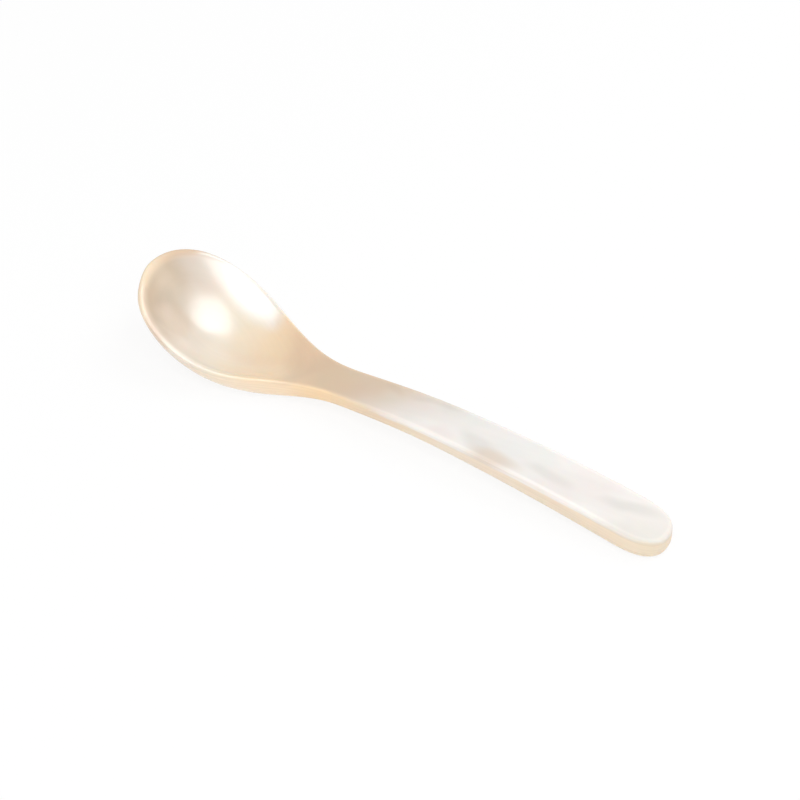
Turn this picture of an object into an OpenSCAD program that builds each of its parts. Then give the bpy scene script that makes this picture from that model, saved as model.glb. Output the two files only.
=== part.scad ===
// Salt spoon carved and polished from one piece of mother-of-pearl shell.
// It lies as on a table: z = 0 is the table, +X runs from the bowl to the
// end of the handle, and the origin is under the middle of the spoon.
// All sizes are in millimetres.

/* [Overall] */
// Length from the tip of the bowl to the end of the handle
overall_length = 90; // [82:1:110]
// Depth rubbed off the underside where it touches the table
foot_flat = 0.12; // [0.08:0.01:0.2]

/* [Bowl outline] */
// Widest width of the bowl, over the rim
bowl_width = 20.6; // [17:0.2:25]
// Tip of the bowl to its widest place
bowl_front = 11.6; // [9:0.2:14]
// Widest place of the bowl to the narrowest place of the neck
bowl_taper = 24.9; // [21:0.1:29]
// Fullness of the rounded tip, where 2 is an ellipse
tip_fullness = 2.15; // [1.9:0.05:2.6]
// How late the sides turn in behind the widest place
taper_start = 1.9; // [1.5:0.1:2.5]
// How gently the sides run out into the neck
taper_end = 2.75; // [2:0.05:3.5]

/* [Bowl hollow] */
// Depth of the hollow below the rim, at the widest place
bowl_depth = 3.9; // [3:0.1:4.6]
// Thickness of the shell under the deepest place
bowl_wall = 1.3; // [1:0.1:2.5]
// Thickness of the rounded lip
lip_thickness = 1.2; // [0.8:0.1:1.6]
// Widest place of the bowl to where the hollow runs out
hollow_taper = 19.4; // [16:0.2:22]

/* [Side view] */
// Tip of the bowl to the heel, where the bowl rests
heel_place = 22; // [19:0.5:25]
// Depth of the heel below the rim
heel_depth = 4.1; // [3.6:0.1:5.5]
// Rise of the tip above the rim at the heel
tip_rise = 8.1; // [5:0.1:10]
// Slope of the rim at the tip
tip_slope = 0.38; // [0.2:0.02:0.5]
// Rise of the handle's crest above the rim at the heel
arch_rise = 2.15; // [0.5:0.05:4]
// Tip of the bowl to the crest of the handle
arch_place = 53.4; // [46:0.2:60]
// Fall of the handle at its end
end_slope = 0.16; // [0.1:0.01:0.24]

/* [Neck and handle] */
// Width of the neck at its narrowest place
neck_width = 6.65; // [5:0.05:9]
// Thickness of the neck at its narrowest place
neck_thickness = 2.35; // [1.8:0.05:3.4]
// Width of the handle at its end
end_width = 8.2; // [6.5:0.1:11]
// Thickness of the handle at its end
end_thickness = 4.05; // [3:0.05:5]
// How soon the handle widens behind the neck
handle_swell = 1.7; // [1.2:0.1:2.4]
// Length of the rounded end
end_round = 6.8; // [4.5:0.1:9]
// Fullness of the rounded end, where 2 is an ellipse
end_fullness = 2.5; // [2:0.1:3]
// Radius of the handle's upper edges
edge_radius = 0.5; // [0.3:0.05:0.7]

/* [Hidden] */
// Fullness of the underside's section: 2 is an ellipse, more is squarer
bowl_section = 1.9;
handle_section = 6;
// Ribs round the tip, along each side and round the end
tip_ribs = 14;
side_ribs = 46;
end_ribs = 9;
// Points on a rib: over the top, round the edge and under the bottom
top_points = 8;
edge_points = 5;
under_points = 10;

neck_place = bowl_front + bowl_taper;
spine_end = overall_length - end_round;
half_ribs = tip_ribs + side_ribs + end_ribs;
rib_count = 2 * half_ribs;
rib_points = top_points - 1 + edge_points + under_points - 1;

// Plain curves used for the outline, the side view and the section.
function held(t) = max(0, min(1, t));
function ease(t) = let (u = held(t)) u * u * (3 - 2 * u);
function between(t, a, b) = a + (b - a) * t;
function curve(x, x0, z0, m0, x1, z1, m1) =
    let (h = x1 - x0, t = held((x - x0) / h))
    (2 * t^3 - 3 * t^2 + 1) * z0 + (t^3 - 2 * t^2 + t) * h * m0
    + (3 * t^2 - 2 * t^3) * z1 + (t^3 - t^2) * h * m1;
function quarter(t, fullness) = max(0, 1 - held(t)^fullness)^(1 / fullness);

// Half of the width of the spoon, seen from above, at x from the tip.
function half_width(x) =
    let (turn = held((x - bowl_front) / bowl_taper))
    let (swell = held((x - neck_place) / (overall_length - neck_place)))
    x < bowl_front ? bowl_width / 2 * quarter(1 - x / bowl_front, tip_fullness)
    : x < neck_place
        ? between((1 - turn^taper_start)^taper_end, neck_width, bowl_width) / 2
        : between(1 - (1 - swell)^handle_swell, neck_width, end_width) / 2
            * quarter((x - spine_end) / end_round, end_fullness);

// Height of the rim and of the handle's top, seen from the side.
end_height = end_thickness - end_slope * end_round / 2;
function top_line(x) =
    x < heel_place
        ? curve(x, 0, heel_depth + tip_rise, -tip_slope, heel_place, heel_depth, 0)
        : x < arch_place
            ? curve(x, heel_place, heel_depth, 0, arch_place, heel_depth + arch_rise, 0)
            : curve(x, arch_place, heel_depth + arch_rise, 0,
                    overall_length, end_height, -end_slope);

// Depth of the underside and of the hollow below the top line, on the middle line.
function under_depth(x) =
    x < heel_place
        ? curve(x, bowl_front, bowl_depth + bowl_wall, 0, heel_place, heel_depth, 0)
        : x < neck_place
            ? curve(x, heel_place, heel_depth, 0, neck_place, neck_thickness, 0)
            : curve(x, neck_place, neck_thickness, 0, overall_length, end_thickness, 0);
function hollow_depth(x) =
    bowl_depth * (1 - held((x - bowl_front) / hollow_taper)^2)^1.5;

// The section changes from a thin-lipped bowl to a square-sided handle.
function to_handle(x) = ease((x - bowl_front) / bowl_taper);
function section(x) = between(to_handle(x), bowl_section, handle_section);
function edge(x) = between(to_handle(x), lip_thickness / 2, edge_radius);

// A rib runs from the middle line to the outline: [outline x, middle line x].
function rib_place(k) =
    k < tip_ribs ? [bowl_front * (1 - cos(90 * k / tip_ribs)), bowl_front]
    : k <= tip_ribs + side_ribs
        ? let (x = between((k - tip_ribs) / side_ribs, bowl_front, spine_end)) [x, x]
        : [spine_end + end_round * sin(90 * (k - tip_ribs - side_ribs) / end_ribs), spine_end];

// Section of a rib as [distance from the middle line, drop below the top line].
function rib_section(reach, x) =
    let (r = edge(x), n = section(x), hollow = hollow_depth(x), under = under_depth(x))
    let (inner = reach - r, slope = atan(2 * hollow / inner))
    let (lip_in = inner - r * sin(slope), lip_drop = r - r * cos(slope))
    concat(
        [for (j = [1 : top_points - 1])
            let (q = j / top_points) [q * lip_in, lip_drop + (hollow - lip_drop) * (1 - q^2)]],
        [for (j = [0 : edge_points - 1])
            let (a = (90 + slope) * (1 - j / (edge_points - 1)))
            [inner + r * cos(a), r - r * sin(a)]],
        [for (j = [1 : under_points - 1])
            let (a = 90 * j / under_points, f = (cos(a)^n + sin(a)^n)^(-1 / n))
            [reach * f * cos(a), r + (under - r) * f * sin(a)]]);

// A point in the part's frame, low enough for the table to cut the two flats.
function placed(x, y, drop) =
    [x - overall_length / 2, y, top_line(x) - drop - foot_flat];

function rib(k, side) =
    let (place = rib_place(k), dx = place[0] - place[1], w = half_width(place[0]))
    let (reach = norm([dx, w]))
    [for (s = rib_section(reach, place[1]))
        placed(place[1] + s[0] * dx / reach, side * s[0] * w / reach, s[1])];

function rib_number(i) = i <= half_ribs ? i : rib_count - i;
function spine_number(i) = max(0, min(side_ribs, rib_number(i) - tip_ribs));
function spine_x(n) = rib_place(tip_ribs + n)[0];

spoon_points = concat(
    [for (i = [0 : rib_count - 1]) each rib(rib_number(i), i <= half_ribs ? 1 : -1)],
    [for (n = [0 : side_ribs]) placed(spine_x(n), 0, hollow_depth(spine_x(n)))],
    [for (n = [0 : side_ribs]) placed(spine_x(n), 0, under_depth(spine_x(n)))]);

function on_rib(i, j) = (i % rib_count) * rib_points + j;
function on_top(i) = rib_count * rib_points + spine_number(i % rib_count);
function on_bottom(i) = on_top(i) + side_ribs + 1;
last = rib_points - 1;

spoon_faces = [for (i = [0 : rib_count - 1]) each concat(
    [[on_top(i), on_rib(i, 0), on_rib(i + 1, 0)]],
    on_top(i) == on_top(i + 1) ? [] : [[on_top(i), on_rib(i + 1, 0), on_top(i + 1)]],
    [for (j = [0 : last - 1]) each [
        [on_rib(i, j), on_rib(i, j + 1), on_rib(i + 1, j + 1)],
        [on_rib(i, j), on_rib(i + 1, j + 1), on_rib(i + 1, j)]]],
    [[on_rib(i, last), on_bottom(i), on_rib(i + 1, last)]],
    on_bottom(i) == on_bottom(i + 1) ? []
        : [[on_bottom(i), on_bottom(i + 1), on_rib(i + 1, last)]])];

// All that lies below the table: it cuts the flats under the heel and the handle's end.
module below_table() {
    translate([-overall_length, -bowl_width, -5])
        cube([2 * overall_length, 2 * bowl_width, 5]);
}

// The spoon: bowl, neck and handle are one piece of shell, with no joint.
module spoon() {
    color("#efe2d0")
        difference() {
            polyhedron(points = spoon_points, faces = spoon_faces, convexity = 6);
            below_table();
        }
}

spoon();
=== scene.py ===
import math

import bmesh
import bpy
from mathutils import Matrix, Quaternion, Vector


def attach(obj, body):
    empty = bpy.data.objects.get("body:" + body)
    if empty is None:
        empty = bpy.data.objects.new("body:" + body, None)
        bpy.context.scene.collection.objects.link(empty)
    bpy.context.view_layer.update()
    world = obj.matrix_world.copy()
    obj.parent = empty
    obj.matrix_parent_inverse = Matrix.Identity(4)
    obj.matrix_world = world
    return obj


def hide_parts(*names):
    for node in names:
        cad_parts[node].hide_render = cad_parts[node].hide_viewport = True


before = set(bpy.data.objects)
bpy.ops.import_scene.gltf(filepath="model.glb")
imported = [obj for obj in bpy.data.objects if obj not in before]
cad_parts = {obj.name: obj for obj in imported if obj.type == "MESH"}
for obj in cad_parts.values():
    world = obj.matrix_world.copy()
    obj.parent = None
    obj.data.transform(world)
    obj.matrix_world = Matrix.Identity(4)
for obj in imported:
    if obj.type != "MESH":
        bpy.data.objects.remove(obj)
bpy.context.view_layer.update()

# Spoon
# One piece of mother-of-pearl: a blank is sawn from the thick of the shell, ground to its outline
# and side view, hollowed at the bowl, rounded at its edges and polished. Nothing is fixed to it.
MM = 0.001
spoon_length = 90 * MM
bowl_half_width = 10.3 * MM
bowl_front = 11.6 * MM
neck_place = 36.5 * MM
neck_half_width = 3.325 * MM
end_half_width = 4.1 * MM
end_round = 6.8 * MM
spine_end = spoon_length - end_round
tip_fullness = 2.15
taper_start = 1.9
taper_end = 2.75
handle_swell = 1.7
end_fullness = 2.5


def held(t):
    return max(0.0, min(1.0, t))


def ease(t):
    t = held(t)
    return t * t * (3 - 2 * t)


def between(t, a, b):
    return a + (b - a) * t


def half_width(x):
    """Half of the width seen from above, at x from the tip, behind the widest place of the bowl."""
    if x < neck_place:
        turn = held((x - bowl_front) / (neck_place - bowl_front))
        return between((1 - turn**taper_start) ** taper_end, neck_half_width, bowl_half_width)
    swell = held((x - neck_place) / (spoon_length - neck_place))
    return between(1 - (1 - swell) ** handle_swell, neck_half_width, end_half_width)


def curve(x, start, end):
    """A smooth line between two places, each given as place, height and slope."""
    (x0, z0, slope0), (x1, z1, slope1) = start, end
    run = x1 - x0
    t = held((x - x0) / run)
    return (
        (2 * t**3 - 3 * t**2 + 1) * z0
        + (t**3 - 2 * t**2 + t) * run * slope0
        + (3 * t**2 - 2 * t**3) * z1
        + (t**3 - t**2) * run * slope1
    )


# The side view: the rim falls from the raised tip to the heel, where the bowl rests, and the
# handle rises to a crest and falls to its end. The underside and the hollow lie below that line.
foot_flat = 0.12 * MM
tip = (0.0, 12.2 * MM, -0.38)
heel = (22 * MM, 4.1 * MM, 0.0)
crest = (53.4 * MM, 6.25 * MM, 0.0)
handle_end = (spoon_length, 3.506 * MM, -0.16)
under_bowl = (bowl_front, 5.2 * MM, 0.0)
under_neck = (neck_place, 2.35 * MM, 0.0)
under_end = (spoon_length, 4.05 * MM, 0.0)
bowl_depth = 3.9 * MM
hollow_taper = 19.4 * MM
lip_radius = 0.6 * MM
edge_radius = 0.5 * MM
bowl_section = 1.9
handle_section = 6

# The tip is ground by hand, and is a little flatter on its near side.
tip_flat = 0.45 * MM


def top_line(x):
    if x < heel[0]:
        return curve(x, tip, heel)
    if x < crest[0]:
        return curve(x, heel, crest)
    return curve(x, crest, handle_end)


def under_depth(x):
    if x < heel[0]:
        return curve(x, under_bowl, heel)
    if x < neck_place:
        return curve(x, heel, under_neck)
    return curve(x, under_neck, under_end)


def hollow_depth(x):
    return bowl_depth * (1 - held((x - bowl_front) / hollow_taper) ** 2) ** 1.5


# The blank is a plain block, cut into cells along its length, across it and down its sides.
blank_height = 12 * MM
tip_cells = 14
side_cells = 64
end_cells = 10
cells_along = tip_cells + side_cells + end_cells
cells_across = 16
lip_cells = 5
under_cells = 6
cells_down = lip_cells + under_cells
side_turn = math.radians(60)

bpy.ops.object.select_all(action="DESELECT")
bpy.ops.mesh.primitive_cube_add(
    size=1,
    location=(0, 0, blank_height / 2),
    scale=(spoon_length, 2 * bowl_half_width, blank_height),
)
spoon = bpy.context.object
spoon.name = "spoon_shell"
bpy.ops.object.transform_apply(location=True, rotation=True, scale=True)
bpy.ops.object.mode_set(mode="EDIT")
bpy.ops.mesh.select_mode(type="EDGE")
for axis, cells in enumerate((cells_along, cells_across, cells_down)):
    bpy.ops.mesh.select_all(action="DESELECT")
    block = bmesh.from_edit_mesh(spoon.data)
    for edge in block.edges:
        run = edge.verts[1].co - edge.verts[0].co
        edge.select_set(abs(run[axis]) > 0.9 * run.length)
    bmesh.update_edit_mesh(spoon.data)
    bpy.ops.mesh.subdivide(number_cuts=cells - 1)
bpy.ops.object.mode_set(mode="OBJECT")


def rounded(out, side, fullness):
    """A cell of a rounded end: its share of the way to the outline, and the outline's direction."""
    out, side = out * math.sqrt(1 - side * side / 2), side * math.sqrt(1 - out * out / 2)
    share = math.hypot(out, side)
    if share < 1e-9:
        return 0.0, 0.0, 1.0
    out, side = out / share, side / share
    full = (abs(out) ** fullness + abs(side) ** fullness) ** (-1 / fullness)
    return share, full * out, full * side


def ground(block_point):
    """Where a point of the blank lies on the finished spoon, with its depth below the rim line
    and how far it lies inside the edge, which is less than nothing on the outside."""
    step = round((block_point.x / spoon_length + 0.5) * cells_along)
    across = block_point.y / bowl_half_width
    down = round((1 - block_point.z / blank_height) * cells_down)
    if step < tip_cells:
        spine = bowl_front
        share, out, side = rounded(1 - step / tip_cells, across, tip_fullness)
        reach = Vector((-bowl_front * out, bowl_half_width * side))
    elif step <= tip_cells + side_cells:
        spine = between((step - tip_cells) / side_cells, bowl_front, spine_end)
        share = abs(across)
        reach = Vector((0.0, math.copysign(half_width(spine), across)))
    else:
        spine = spine_end
        out = (step - tip_cells - side_cells) / end_cells
        share, out, side = rounded(out, across, end_fullness)
        reach = Vector((end_round * out, half_width(spine) * side))
    to_handle = ease((spine - bowl_front) / (neck_place - bowl_front))
    section = between(to_handle, bowl_section, handle_section)
    lip = between(to_handle, lip_radius, edge_radius)
    hollow = hollow_depth(spine)
    under = under_depth(spine)
    inner = reach.length - lip
    slope = math.atan(2 * hollow / inner)
    if down == 0:
        lip_drop = lip - lip * math.cos(slope)
        far = share * (inner - lip * math.sin(slope))
        drop = lip_drop + (hollow - lip_drop) * (1 - share * share)
        inset = reach.length - far
    elif down <= lip_cells:
        turn = (math.pi / 2 + slope) * (1 - down / lip_cells)
        far = inner + lip * math.cos(turn)
        drop = lip - lip * math.sin(turn)
        inset = reach.length - far
    else:
        turn = side_turn * (down - lip_cells) / under_cells
        if down == cells_down:
            turn = between(share, math.pi / 2, side_turn)
        cos, sin = max(0.0, math.cos(turn)), math.sin(turn)
        full = (cos**section + sin**section) ** (-1 / section)
        far = reach.length * full * cos
        drop = lip + (under - lip) * full * sin
        inset = lip - drop
    place = reach.normalized() * far
    x = spine + place.x
    to_tip = held(1 - x / bowl_front)
    x += tip_flat * (to_tip * math.sin(math.pi * held(-place.y / bowl_half_width))) ** 2
    z = max(0.0, top_line(x) - drop - foot_flat)
    return Vector((x - spoon_length / 2, place.y, z)), drop / MM, inset / MM


spoon.data.attributes.new("depth_mm", "FLOAT", "POINT")
spoon.data.attributes.new("inset_mm", "FLOAT", "POINT")
depths = spoon.data.attributes["depth_mm"].data
insets = spoon.data.attributes["inset_mm"].data
for v in spoon.data.vertices:
    v.co, depths[v.index].value, insets[v.index].value = ground(v.co)
polish = spoon.modifiers.new("polish", "SUBSURF")
polish.levels = polish.render_levels = 2
bpy.ops.object.modifier_apply(modifier=polish.name)
bpy.ops.object.shade_smooth()

# Nacre: thin pearly layers, white on the handle and peach to tan on the bowl, neck and sides. The
# tan is partly the shell's own colour and partly painted shade, darkest at the bowl's tip and at
# the neck.
nacre = bpy.data.materials.new("nacre")
nacre.use_nodes = True
nodes = nacre.node_tree.nodes
links = nacre.node_tree.links
shader = nodes["Principled BSDF"]


def add(kind, **settings):
    made = nodes.new(kind)
    for name, value in settings.items():
        setattr(made, name, value)
    return made


def feed(socket, value):
    if isinstance(value, bpy.types.NodeSocket):
        links.new(value, socket)
    else:
        socket.default_value = value


def sum_of(a, b):
    made = add("ShaderNodeMath", operation="ADD")
    feed(made.inputs[0], a)
    feed(made.inputs[1], b)
    return made.outputs[0]


def times(a, b):
    made = add("ShaderNodeMath", operation="MULTIPLY")
    feed(made.inputs[0], a)
    feed(made.inputs[1], b)
    return made.outputs[0]


def ranged(value, low, high, to_low=0.0, to_high=1.0, shape="SMOOTHSTEP"):
    """A value taken from one range to another and held at its ends."""
    made = add("ShaderNodeMapRange", interpolation_type=shape)
    for socket, part in zip(made.inputs, (value, low, high, to_low, to_high)):
        feed(socket, part)
    return made.outputs["Result"]


def along(point, direction):
    """How far a point lies in a direction, in millimetres."""
    made = add("ShaderNodeVectorMath", operation="DOT_PRODUCT")
    feed(made.inputs[0], point)
    made.inputs[1].default_value = Vector(direction) / MM
    return made.outputs["Value"]


def fitted(point, size, turn=0.0, centre=(0.0, 0.0, 0.0)):
    """A point seen from a centre along turned axes, in units of a size. All are in millimetres."""
    made = add("ShaderNodeMapping", vector_type="TEXTURE")
    feed(made.inputs["Vector"], point)
    made.inputs["Location"].default_value = Vector(centre) * MM
    made.inputs["Rotation"].default_value = (0.0, 0.0, math.radians(turn))
    made.inputs["Scale"].default_value = Vector(size) * MM
    return made.outputs["Vector"]


def cloud(point, detail=2.0):
    """Soft cloudy patches, about one to each unit of the point's own scale."""
    made = add("ShaderNodeTexNoise")
    feed(made.inputs["Vector"], point)
    made.inputs["Scale"].default_value = 1.0
    made.inputs["Detail"].default_value = detail
    made.inputs["Roughness"].default_value = 0.45
    return made.outputs


def stops(value, low, high, colours):
    """Colours at their places, in millimetres or other units, along a value from low to high."""
    made = add("ShaderNodeValToRGB")
    ramp = made.color_ramp
    ramp.interpolation = "EASE"
    ramp.elements.remove(ramp.elements[1])
    ramp.elements[0].position = (colours[0][0] - low) / (high - low)
    ramp.elements[0].color = (*colours[0][1], 1)
    for where, colour in colours[1:]:
        ramp.elements.new((where - low) / (high - low)).color = (*colour, 1)
    feed(made.inputs["Fac"], ranged(value, low, high, shape="LINEAR"))
    return made.outputs["Color"]


def mixed(amount, under, over, blend="MIX"):
    made = add("ShaderNodeMix", data_type="RGBA", blend_type=blend)
    feed(made.inputs[0], amount)
    feed(made.inputs[6], under)
    feed(made.inputs[7], over)
    return made.outputs[2]


# Each zone of the polished face ends in a wavering line: the shell's own zones because the layers
# aren't flat, and the painted shade zones the same way.
point = add("ShaderNodeTexCoord").outputs["Object"]
waver_reach = 3 * MM
waver = add("ShaderNodeVectorMath", operation="MULTIPLY_ADD")
feed(waver.inputs[0], cloud(fitted(point, (11, 11, 11)))["Color"])
waver.inputs[1].default_value = (2 * waver_reach, 2 * waver_reach, 0.0)
feed(waver.inputs[2], point)
shifted = add("ShaderNodeVectorMath", operation="SUBTRACT")
feed(shifted.inputs[0], waver.outputs["Vector"])
shifted.inputs[1].default_value = (waver_reach, waver_reach, 0.0)
wavered = shifted.outputs["Vector"]
along_bowl = along(wavered, (1.0, 0.35, 0.0))
along_handle = along(wavered, (1.0, -0.8, 0.0))
# The bowl's face is darker tan towards its tip and at the neck: painted shade over the shell's own
# peach and tan.
bowl_face = stops(along_bowl, -46, 0, [
    (-45, (0.64, 0.48, 0.32)),
    (-39.5, (0.61, 0.47, 0.33)),
    (-35.5, (0.76, 0.66, 0.54)),
    (-31, (0.84, 0.74, 0.60)),
    (-28, (0.88, 0.74, 0.56)),
    (-22, (0.94, 0.72, 0.48)),
    (-18, (0.84, 0.62, 0.41)),
    (-13, (0.74, 0.56, 0.38)),
    (-5, (0.73, 0.58, 0.43)),
])
# The handle's face is tan at the neck, partly painted shade, and white beyond.
handle_face = stops(along_handle, -10, 46, [
    (-6, (0.82, 0.71, 0.60)),
    (4, (0.89, 0.83, 0.78)),
    (10, (0.93, 0.90, 0.87)),
    (37, (0.93, 0.90, 0.87)),
    (45, (0.82, 0.78, 0.73)),
])
on_handle = ranged(along_handle, -8, 5)
polished_face = mixed(on_handle, bowl_face, handle_face)

# The far wall of the bowl is made paler: a painted highlight where it catches the lamps. Grey
# streaks run slantwise along the handle, and soft patches make places darker or paler. A patch has
# its middle, its half sizes, its turn, its strength and its colour.
painted_far_wall_highlight = times(ranged(along(wavered, (0.0, 1.0, 0.0)), 5.5, 8.5), ranged(along_bowl, -21, -25))
painted_far_wall_highlight = times(painted_far_wall_highlight, ranged(along_bowl, -38, -33))
polished_face = mixed(times(painted_far_wall_highlight, 0.8), polished_face, (0.87, 0.84, 0.80, 1))
streaks = cloud(fitted(point, (31, 3.8, 11), 9, (100, 100, 0)))[0]
streak_amount = times(times(ranged(streaks, 0.42, 0.70), on_handle), 0.16)
polished_face = mixed(streak_amount, polished_face, (0.68, 0.64, 0.60, 1))
patches = [
    # The first five patches paint light and shade into the bowl: greyer and paler places on its
    # walls, painted shade in dark brown on the tip's inner wall, and a painted sheen along the near
    # lip.
    ((-40.5, 5.5), (6.0, 4.5), 40, 0.75, (0.74, 0.66, 0.58)),
    ((-36.0, 1.3), (5.5, 4.5), 0, 0.30, (0.76, 0.71, 0.66)),
    ((-40.4, -2.8), (2.6, 2.6), 0, 0.55, (0.46, 0.34, 0.21)),
    ((-37.6, -4.9), (3.4, 3.0), 0, 0.60, (0.80, 0.65, 0.50)),
    ((-33.0, -10.2), (7.0, 2.1), -10, 0.75, (0.86, 0.78, 0.68)),
    # The rest lie on the handle; the tan one at the neck is painted shade.
    ((-2.0, 2.3), (3.0, 1.4), -4, 0.25, (0.62, 0.47, 0.35)),
    ((5.0, 2.8), (5.5, 1.3), 4, 0.35, (0.66, 0.60, 0.53)),
    ((9.5, -3.2), (3.5, 1.2), 4, 0.50, (0.92, 0.83, 0.79)),
    ((15.0, -1.3), (5.0, 2.0), -4, 0.50, (0.72, 0.69, 0.65)),
    ((18.3, -2.8), (5.5, 2.2), 0, 0.65, (0.72, 0.60, 0.47)),
    ((26.6, -1.0), (5.0, 1.9), 6, 0.50, (0.73, 0.70, 0.66)),
    ((39.0, 0.7), (5.2, 1.9), 18, 0.62, (0.70, 0.68, 0.64)),
]
for (x, y), (half_long, half_wide), turn, amount, colour in patches:
    spot = add("ShaderNodeTexGradient", gradient_type="SPHERICAL")
    feed(spot.inputs["Vector"], fitted(wavered, (half_long, half_wide, 1000), turn, (x, y, 0)))
    soft = ranged(spot.outputs["Fac"], 0.0, 0.8, 0.0, amount)
    polished_face = mixed(soft, polished_face, (*colour, 1))

# The lip, sides and underside turn peach to tan past a line that wanders along the edge, and
# further in at the tip and on the near side of the neck. The colour is partly the shell's deeper
# layers and partly painted warm shade that stands in for light through the shell.
inset = add("ShaderNodeAttribute", attribute_name="inset_mm").outputs["Fac"]
depth = add("ShaderNodeAttribute", attribute_name="depth_mm").outputs["Fac"]
pearl = cloud(fitted(point, (8, 5, 8), 20, (60, 60, 0)))[0]
lengthwise = along(point, (1.0, 0.0, 0.0))
crosswise = along(point, (0.0, 1.0, 0.0))
at_tip = ranged(along(point, (1.0, 0.3, 0.0)), -36.5, -41)
at_neck = times(ranged(lengthwise, -20, -12), ranged(lengthwise, 2, -6))
near_neck = times(at_neck, ranged(crosswise, 1, -2))
wander = sum_of(times(pearl, 0.9), -0.5)
edge_line = sum_of(wander, sum_of(times(at_tip, 1.2), times(near_neck, 0.4)))
face_end = sum_of(edge_line, ranged(at_tip, 0, 1, 0.15, 0.7))
side_start = sum_of(edge_line, ranged(at_tip, 0, 1, -0.25, -0.6))
on_side = ranged(inset, face_end, side_start)
# Side colour along the spoon: partly the shell's deeper layers, partly painted warm shade, darker
# at the tip.
side_tone_and_painted_shade = stops(along_bowl, -46, 46, [
    (-43, (0.92, 0.74, 0.55)),
    (-40, (0.74, 0.57, 0.43)),
    (-30, (0.93, 0.77, 0.58)),
    (-15, (0.97, 0.71, 0.44)),
    (-4, (0.87, 0.71, 0.52)),
    (12, (0.89, 0.78, 0.63)),
    (45, (0.89, 0.75, 0.58)),
])
# The far side of the tip is darker still: painted shade.
far_tip = times(at_tip, ranged(crosswise, -2, 4))
side_tone_and_painted_shade = mixed(times(far_tip, 0.8), side_tone_and_painted_shade, (0.64, 0.47, 0.32, 1))
face = mixed(on_side, polished_face, side_tone_and_painted_shade)

# Layers cut edge on are fine lines that keep to one depth. The pearl turns pink or grey-green.
layer_point = add("ShaderNodeCombineXYZ")
feed(layer_point.inputs["X"], times(along_bowl, 0.06))
feed(layer_point.inputs["Y"], times(depth, 5.0))
layers = cloud(layer_point.outputs["Vector"], 3.0)[0]
layered = mixed(
    ranged(inset, 0.2, 0.9, 1.0, 0.2),
    face,
    stops(layers, 0, 1, [(0.3, (0.95, 0.94, 0.92)), (0.7, (1.03, 1.03, 1.03))]),
    "MULTIPLY",
)
sheen = stops(pearl, 0, 1, [
    (0.30, (1.01, 0.975, 0.97)),
    (0.50, (1.01, 1.005, 1.00)),
    (0.70, (0.965, 0.985, 0.975)),
])
feed(shader.inputs["Base Color"], mixed(1.0, layered, sheen, "MULTIPLY"))

# The face and the bowl's lip have the best polish. The tip and the handle's edges are worn dull.
worn_tip = times(times(at_tip, ranged(crosswise, -5.5, -3.5)), ranged(inset, -1.0, -0.2))
worn = sum_of(worn_tip, ranged(lengthwise, -20, -10))
dull = ranged(worn_tip, 0, 1, 0.3, 1.1)
shiny = sum_of(dull, 0.6)
edge_gloss = ranged(worn, 0, 1, 1.0, 0.0)
feed(shader.inputs["Coat Weight"], ranged(inset, dull, shiny, edge_gloss, 1.0))
face_roughness = ranged(pearl, 0.3, 0.7, 0.31, 0.38)
edge_roughness = ranged(worn, 0, 1, 0.45, 0.75)
feed(shader.inputs["Roughness"], ranged(inset, dull, shiny, edge_roughness, face_roughness))
waves = add("ShaderNodeBump")
waves.inputs["Strength"].default_value = 0.5
waves.inputs["Distance"].default_value = 0.06 * MM
feed(waves.inputs["Height"], cloud(fitted(point, (6, 4, 5), 15), 1.0)[0])
feed(shader.inputs["Normal"], waves.outputs["Normal"])
shader.inputs["IOR"].default_value = 1.6
shader.inputs["Specular IOR Level"].default_value = 1.0
shader.inputs["Coat Roughness"].default_value = 0.2
shader.inputs["Coat IOR"].default_value = 1.8
shader.inputs["Subsurface Weight"].default_value = 0.2
shader.inputs["Subsurface Radius"].default_value = (1.0, 0.55, 0.3)
shader.inputs["Subsurface Scale"].default_value = 1.5 * MM
spoon.data.materials.append(nacre)
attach(spoon, "root")
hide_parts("spoon")

# Floor
# A wide sheet of white paper. The camera, and what reflects in the spoon, see it nearly white,
# and it keeps the spoon's shadow.
bpy.ops.object.select_all(action="DESELECT")
bpy.ops.mesh.primitive_plane_add(size=6, location=(0, 0, -0.02 * MM))
floor = bpy.context.object
paper_whiteness = 0.88
floor.name = "floor"
paper = bpy.data.materials.new("white_paper")
paper.use_nodes = True
tree = paper.node_tree
sheet = tree.nodes["Principled BSDF"]
sheet.inputs["Base Color"].default_value = (0.95, 0.95, 0.95, 1)
sheet.inputs["Roughness"].default_value = 0.9
sheet.inputs["Specular IOR Level"].default_value = 0.0
white = tree.nodes.new("ShaderNodeEmission")
white.inputs["Strength"].default_value = 1.0
rays = tree.nodes.new("ShaderNodeLightPath")
seen = rays.outputs["Is Camera Ray"]
for name in ("Is Glossy Ray", "Is Transmission Ray"):
    either = tree.nodes.new("ShaderNodeMath")
    either.operation = "MAXIMUM"
    tree.links.new(seen, either.inputs[0])
    tree.links.new(rays.outputs[name], either.inputs[1])
    seen = either.outputs[0]
share_white = tree.nodes.new("ShaderNodeMath")
share_white.operation = "MULTIPLY"
share_white.inputs[1].default_value = paper_whiteness
tree.links.new(seen, share_white.inputs[0])
both = tree.nodes.new("ShaderNodeMixShader")
tree.links.new(share_white.outputs[0], both.inputs["Fac"])
tree.links.new(sheet.outputs[0], both.inputs[1])
tree.links.new(white.outputs[0], both.inputs[2])
tree.links.new(both.outputs[0], tree.nodes["Material Output"].inputs["Surface"])
floor.data.materials.append(paper)

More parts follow.
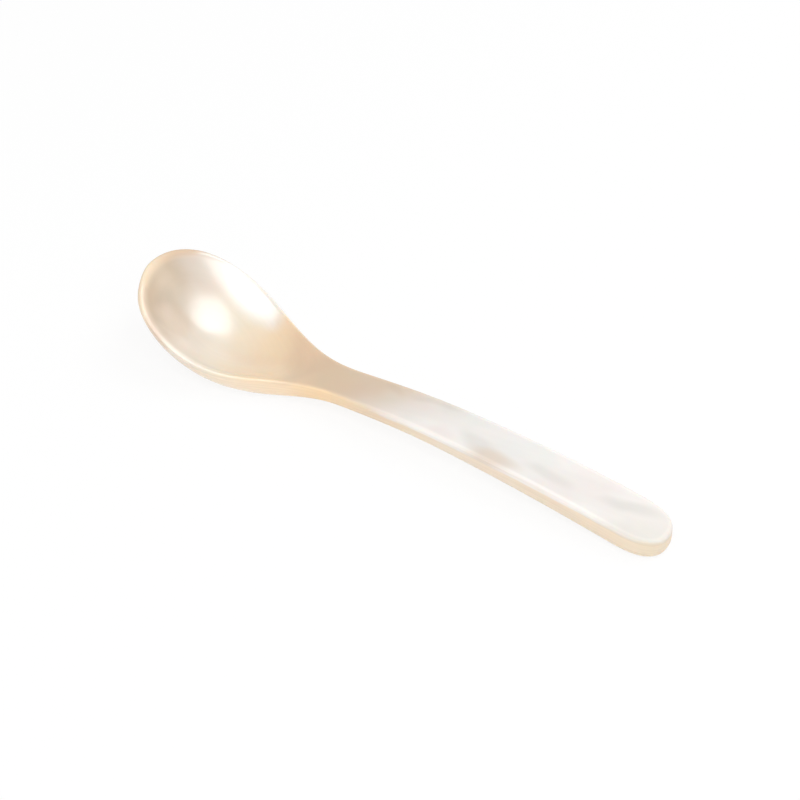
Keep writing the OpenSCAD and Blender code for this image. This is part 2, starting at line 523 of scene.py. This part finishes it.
# Light
# A plain pale room, two large soft lamps above, and weak ones behind and in front of the spoon.
# The lamps aim at the bowl, all from one distance.
room = bpy.data.worlds.new("room")
bpy.context.scene.world = room
room.use_nodes = True
room.node_tree.nodes["Background"].inputs["Color"].default_value = (1, 1, 1, 1)
room.node_tree.nodes["Background"].inputs["Strength"].default_value = 0.4
bowl_middle = Vector((-33 * MM, 0, 6 * MM))
lamp_distance = 0.6


def soft_lamp(name, direction, width, height, brightness, turn=0.0):
    lamp = bpy.data.lights.new(name, "AREA")
    lamp.shape = "ELLIPSE"
    lamp.size, lamp.size_y = width, height
    lamp.energy = brightness * math.pi * (math.pi / 4 * width * height)
    stand = bpy.data.objects.new(name, lamp)
    bpy.context.collection.objects.link(stand)
    away = Vector(direction).normalized()
    stand.location = bowl_middle + away * lamp_distance
    facing = away.to_track_quat("Z", "Y") @ Quaternion((0, 0, 1), math.radians(turn))
    stand.rotation_euler = facing.to_euler()


soft_lamp("lamp_over", (0.25, -0.425, 0.87), 1.2, 0.25, 2.8, turn=-24)
soft_lamp("lamp_right", (0.36, 0.375, 0.854), 0.53, 0.30, 3.0, turn=-48)
soft_lamp("lamp_low", (0.52, 0.72, 0.45), 0.4, 0.07, 1.5, turn=-25)
soft_lamp("lamp_back", (0.0, 0.913, 0.407), 0.44, 0.39, 0.45)
soft_lamp("lamp_back_low", (-0.22, 0.97, 0.09), 0.3, 0.15, 1.0)
soft_lamp("lamp_front", (0.2, -0.93, 0.32), 1.0, 0.3, 0.5)

# Camera
# A 100 mm lens that looks down on the spoon from its right front.
azimuth = math.radians(33.72)
elevation = math.radians(42)
back = Vector((
    math.sin(azimuth) * math.cos(elevation),
    -math.cos(azimuth) * math.cos(elevation),
    math.sin(elevation),
))
aim = Vector((0.07, 0.625, 5.414)) * MM
camera_distance = 323.2 * MM
lens = bpy.data.cameras.new("camera")
lens.lens = 100
lens.sensor_width = 36
lens.clip_start = 0.01
camera = bpy.data.objects.new("camera", lens)
bpy.context.collection.objects.link(camera)
camera.location = aim + back * camera_distance
camera.rotation_euler = back.to_track_quat("Z", "Y").to_euler()
bpy.context.scene.camera = camera
bpy.context.scene.view_settings.view_transform = "Standard"
